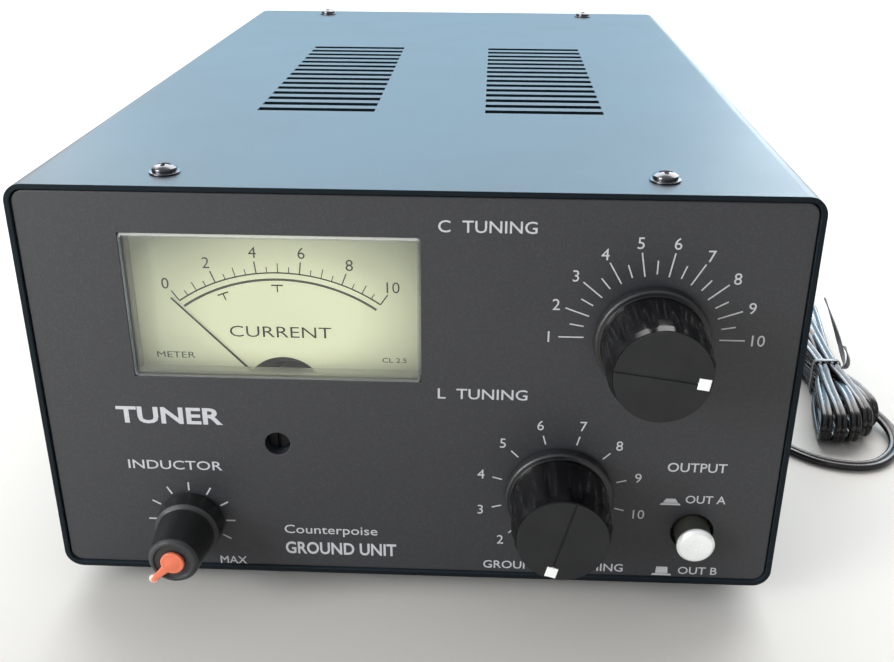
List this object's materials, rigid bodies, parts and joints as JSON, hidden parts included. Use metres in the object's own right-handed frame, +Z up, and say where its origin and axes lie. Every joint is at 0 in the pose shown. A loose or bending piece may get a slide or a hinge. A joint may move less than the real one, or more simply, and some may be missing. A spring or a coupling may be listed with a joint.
{
  "type": "antenna tuner",
  "caption": "Tabletop artificial-ground antenna tuner: sheet-metal case, needle meter, two tuning knobs, inductor knob, output button, rear terminals, tied supply lead.",
  "frame": {"origin": "centre of the case with its knobs and terminals, on the plane that the rubber feet stand on", "axes": "+X right and +Z up seen from the front; the front panel faces -Y"},
  "size_m": [0.25, 0.3481, 0.1143],
  "materials": {
    "case_sheet": "blue-grey textured paint",
    "panel_face": "charcoal satin paint with white print",
    "plated_screw": "dark nickel plate",
    "foot_rubber": "matt",
    "clear_window": "clear moulded acrylic",
    "meter_black": "moulded",
    "dial_paper": "cream printed sheet",
    "needle_black": "black paint",
    "copper": "bare copper wire",
    "magnet_iron": "ground",
    "spring_bronze": "bright",
    "brass_plain": "turned",
    "lamp_glass": "small lamps",
    "knob_gloss": "glossy moulding",
    "knob_cap_grey": "fine matt",
    "marker_white": "white inlay",
    "nickel_nut": "nickel plate",
    "plate_aluminium": "mill finish",
    "ceramic": "glazed ceramic",
    "switch_steel": "pressed steel",
    "switch_phenolic": "phenolic",
    "pot_knob_black": "soft black moulding",
    "pointer_orange": "orange moulding",
    "button_silver": "satin silver plating",
    "switch_black": "moulded",
    "thumb_red": "moulded",
    "lead_pvc": "glossy black PVC",
    "tie_wire": "plastic-covered wire",
    "plug_black": "moulded plug",
    "board_green": "solder-masked laminate",
    "board_part": "components"
  },
  "bodies": {
    "case": {"top_cover": "case_sheet", "chassis": "case_sheet", "front_panel": "panel_face", "cover_screws": "plated_screw", "foot_screws": "plated_screw", "board_standoffs": "plated_screw", "rubber_feet": "foot_rubber", "meter_window": "clear_window", "meter_case": "meter_black", "meter_dial": "dial_paper", "coil_winding": "copper", "meter_magnet": "magnet_iron", "meter_terminals": "brass_plain", "shaft_bushings": "brass_plain", "l_switch_contacts": "brass_plain", "meter_lamps": "lamp_glass", "panel_nuts": "nickel_nut", "post_studs": "nickel_nut", "c_stator_plates": "plate_aluminium", "c_frame": "plate_aluminium", "c_insulators": "ceramic", "l_switch_wafers": "ceramic", "coil_former": "ceramic", "l_switch_frame": "switch_steel", "pot_body": "switch_steel", "switch_body": "switch_black", "post_insulators": "switch_black", "cord_lead": "lead_pvc", "cord_hank": "lead_pvc", "cord_bushing": "lead_pvc", "hank_tie": "tie_wire", "dc_plug": "plug_black", "circuit_board": "board_green", "board_parts": "board_part"},
    "c_tuning_knob": {"c_knob": "knob_gloss", "c_knob_cap": "knob_cap_grey", "c_knob_marker": "marker_white", "c_knob_screw": "plated_screw", "c_shaft": "brass_plain", "c_rotor_plates": "plate_aluminium"},
    "l_selector_knob": {"l_knob": "knob_gloss", "l_knob_cap": "knob_cap_grey", "l_knob_marker": "marker_white", "l_knob_screw": "plated_screw", "l_shaft": "brass_plain", "l_switch_rotor": "switch_phenolic"},
    "inductor_knob": {"pot_knob": "pot_knob_black", "pot_pointer": "pointer_orange", "pot_shaft": "brass_plain"},
    "output_button": {"button_cap": "button_silver", "button_plunger": "switch_black"},
    "meter_movement": {"meter_needle": "needle_black", "meter_coil": "copper", "meter_hairspring": "spring_bronze"},
    "needle_adjuster": {"zero_adjuster": "meter_black"},
    "terminal_nut_1": {"thumb_nut_1": "switch_black"},
    "terminal_nut_2": {"thumb_nut_2": "switch_black"},
    "terminal_nut_3": {"thumb_nut_3": "thumb_red"}
  },
  "joints": [
    {"name": "c_tuning_turn", "type": "hinge", "parent": "case", "child": "c_tuning_knob", "pos_m": [0.0564, -0.14208, 0.0768], "axis": [0, 1, 0], "range_deg": [-196, 0]},
    {"name": "l_selector_turn", "type": "hinge", "parent": "case", "child": "l_selector_knob", "pos_m": [0.0368, -0.14208, 0.0332], "axis": [0, 1, 0], "range_deg": [0, 270]},
    {"name": "inductor_turn", "type": "hinge", "parent": "case", "child": "inductor_knob", "pos_m": [-0.0575, -0.14208, 0.0223], "axis": [0, 1, 0], "range_deg": [-15, 285]},
    {"name": "output_push", "type": "slide", "parent": "case", "child": "output_button", "axis": [0, 1, 0], "range_m": [0, 0.0035], "stiffness_N_per_m": 300, "springref_m": -0.002},
    {"name": "needle_swing", "type": "hinge", "parent": "case", "child": "meter_movement", "pos_m": [-0.0321, -0.13207, 0.0545], "axis": [0, 1, 0], "range_deg": [-3, 88], "stiffness_Nm_per_rad": 0.00003},
    {"name": "zero_adjust_turn", "type": "hinge", "parent": "case", "child": "needle_adjuster", "pos_m": [-0.0337, -0.13808, 0.0457], "axis": [0, 1, 0], "continuous": true},
    {"name": "terminal_1_turn", "type": "hinge", "parent": "case", "child": "terminal_nut_1", "pos_m": [-0.05, 0.14993, 0.042], "axis": [0, 1, 0], "range_deg": [0, 1080]},
    {"name": "terminal_2_turn", "type": "hinge", "parent": "case", "child": "terminal_nut_2", "pos_m": [-0.022, 0.14993, 0.042], "axis": [0, 1, 0], "range_deg": [0, 1080]},
    {"name": "terminal_3_turn", "type": "hinge", "parent": "case", "child": "terminal_nut_3", "pos_m": [0.006, 0.14993, 0.042], "axis": [0, 1, 0], "range_deg": [0, 1080]}
  ]
}
